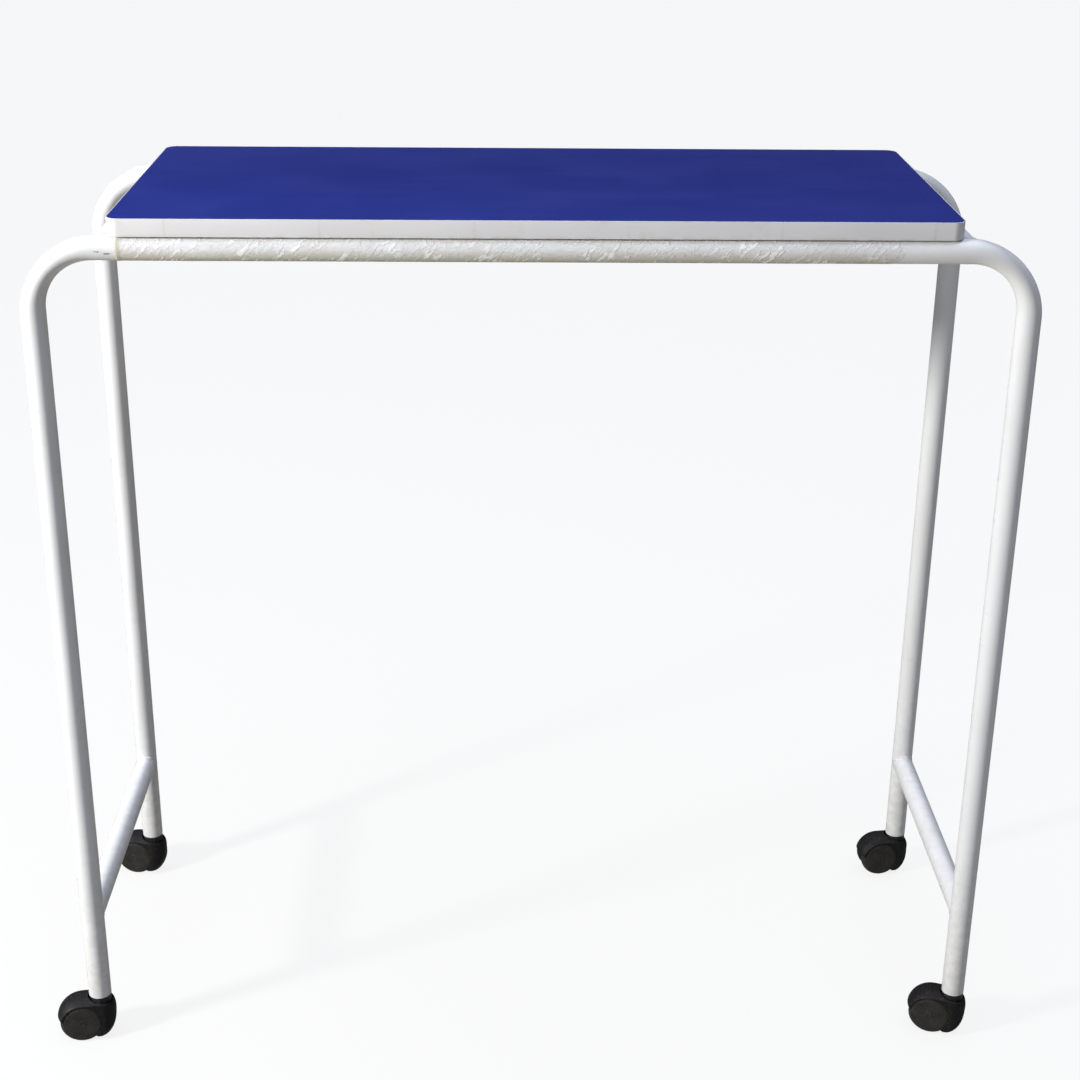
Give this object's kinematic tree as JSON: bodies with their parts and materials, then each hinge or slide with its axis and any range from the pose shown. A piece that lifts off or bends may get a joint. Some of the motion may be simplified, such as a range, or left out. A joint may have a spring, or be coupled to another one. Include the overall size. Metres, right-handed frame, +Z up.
{
  "type": "overbed table",
  "caption": "Overbed table: bent white tube frames joined by cross tubes and low side stretchers, a blue laminated board with a white edge, and hooded swivel castors.",
  "frame": {"origin": "on the floor, under the middle of the whole outline", "axes": "+X along the table's length to its right, -Y to its front, +Z up"},
  "size_m": [1.0575, 0.395, 0.9638],
  "materials": {
    "white_coat": "semi-gloss white powder coat with slight orange peel",
    "blue_laminate": "dark blue high-pressure laminate, faintly mottled, satin",
    "white_edge": "satin white plastic edge band",
    "board_core": "particle board",
    "board_backing": "off-white balancing sheet, dull",
    "packing_film": "thin creased cloudy film, glossy",
    "zinc_steel": "zinc plated",
    "castor_hood": "black moulded nylon, semi-gloss",
    "castor_wheel": "black moulded nylon, worn satin",
    "insert_nylon": "black moulded nylon"
  },
  "bodies": {
    "root": {"front_frame": "white_coat", "rear_frame": "white_coat", "left_stretcher": "white_coat", "right_stretcher": "white_coat", "left_cross_tube": "white_coat", "right_cross_tube": "white_coat", "tabletop_laminate": "blue_laminate", "tabletop_edge_band": "white_edge", "tabletop_core": "board_core", "tabletop_backing": "board_backing", "front_rail_film": "packing_film", "front_left_board_screw": "zinc_steel", "front_right_board_screw": "zinc_steel", "rear_left_board_screw": "zinc_steel", "rear_right_board_screw": "zinc_steel", "front_left_castor_insert": "insert_nylon", "front_left_castor_stem": "zinc_steel", "front_right_castor_insert": "insert_nylon", "front_right_castor_stem": "zinc_steel", "rear_left_castor_insert": "insert_nylon", "rear_left_castor_stem": "zinc_steel", "rear_right_castor_insert": "insert_nylon", "rear_right_castor_stem": "zinc_steel"},
    "front_left_swivel_fork": {"front_left_castor_hood": "castor_hood", "front_left_castor_axle": "zinc_steel", "front_left_castor_washer": "insert_nylon"},
    "front_left_front_wheel": {"front_left_castor_front_wheel": "castor_wheel"},
    "front_left_rear_wheel": {"front_left_castor_rear_wheel": "castor_wheel"},
    "front_right_swivel_fork": {"front_right_castor_hood": "castor_hood", "front_right_castor_axle": "zinc_steel", "front_right_castor_washer": "insert_nylon"},
    "front_right_front_wheel": {"front_right_castor_front_wheel": "castor_wheel"},
    "front_right_rear_wheel": {"front_right_castor_rear_wheel": "castor_wheel"},
    "rear_left_swivel_fork": {"rear_left_castor_hood": "castor_hood", "rear_left_castor_axle": "zinc_steel", "rear_left_castor_washer": "insert_nylon"},
    "rear_left_front_wheel": {"rear_left_castor_front_wheel": "castor_wheel"},
    "rear_left_rear_wheel": {"rear_left_castor_rear_wheel": "castor_wheel"},
    "rear_right_swivel_fork": {"rear_right_castor_hood": "castor_hood", "rear_right_castor_axle": "zinc_steel", "rear_right_castor_washer": "insert_nylon"},
    "rear_right_front_wheel": {"rear_right_castor_front_wheel": "castor_wheel"},
    "rear_right_rear_wheel": {"rear_right_castor_rear_wheel": "castor_wheel"}
  },
  "joints": [
    {"name": "front_left_swivel", "type": "hinge", "parent": "root", "child": "front_left_swivel_fork", "pos_m": [-0.4798, -0.174, 0.05], "axis": [0, 0, 1], "continuous": true},
    {"name": "front_left_front_wheel_roll", "type": "hinge", "parent": "front_left_swivel_fork", "child": "front_left_front_wheel", "pos_m": [-0.50159, -0.17706, 0.025], "axis": [-0.1392, 0.9903, 0], "continuous": true},
    {"name": "front_left_rear_wheel_roll", "type": "hinge", "parent": "front_left_swivel_fork", "child": "front_left_rear_wheel", "pos_m": [-0.50159, -0.17706, 0.025], "axis": [-0.1392, 0.9903, 0], "continuous": true},
    {"name": "front_right_swivel", "type": "hinge", "parent": "root", "child": "front_right_swivel_fork", "pos_m": [0.5108, -0.174, 0.05], "axis": [0, 0, 1], "continuous": true},
    {"name": "front_right_front_wheel_roll", "type": "hinge", "parent": "front_right_swivel_fork", "child": "front_right_front_wheel", "pos_m": [0.49013, -0.16648, 0.025], "axis": [0.342, 0.9397, 0], "continuous": true},
    {"name": "front_right_rear_wheel_roll", "type": "hinge", "parent": "front_right_swivel_fork", "child": "front_right_rear_wheel", "pos_m": [0.49013, -0.16648, 0.025], "axis": [0.342, 0.9397, 0], "continuous": true},
    {"name": "rear_left_swivel", "type": "hinge", "parent": "root", "child": "rear_left_swivel_fork", "pos_m": [-0.4798, 0.174, 0.05], "axis": [0, 0, 1], "continuous": true},
    {"name": "rear_left_front_wheel_roll", "type": "hinge", "parent": "rear_left_swivel_fork", "child": "rear_left_front_wheel", "pos_m": [-0.50147, 0.17782, 0.025], "axis": [0.1736, 0.9848, 0], "continuous": true},
    {"name": "rear_left_rear_wheel_roll", "type": "hinge", "parent": "rear_left_swivel_fork", "child": "rear_left_rear_wheel", "pos_m": [-0.50147, 0.17782, 0.025], "axis": [0.1736, 0.9848, 0], "continuous": true},
    {"name": "rear_right_swivel", "type": "hinge", "parent": "root", "child": "rear_right_swivel_fork", "pos_m": [0.5108, 0.174, 0.05], "axis": [0, 0, 1], "continuous": true},
    {"name": "rear_right_front_wheel_roll", "type": "hinge", "parent": "rear_right_swivel_fork", "child": "rear_right_front_wheel", "pos_m": [0.48896, 0.17132, 0.025], "axis": [-0.1219, 0.9925, 0], "continuous": true},
    {"name": "rear_right_rear_wheel_roll", "type": "hinge", "parent": "rear_right_swivel_fork", "child": "rear_right_rear_wheel", "pos_m": [0.48896, 0.17132, 0.025], "axis": [-0.1219, 0.9925, 0], "continuous": true}
  ]
}
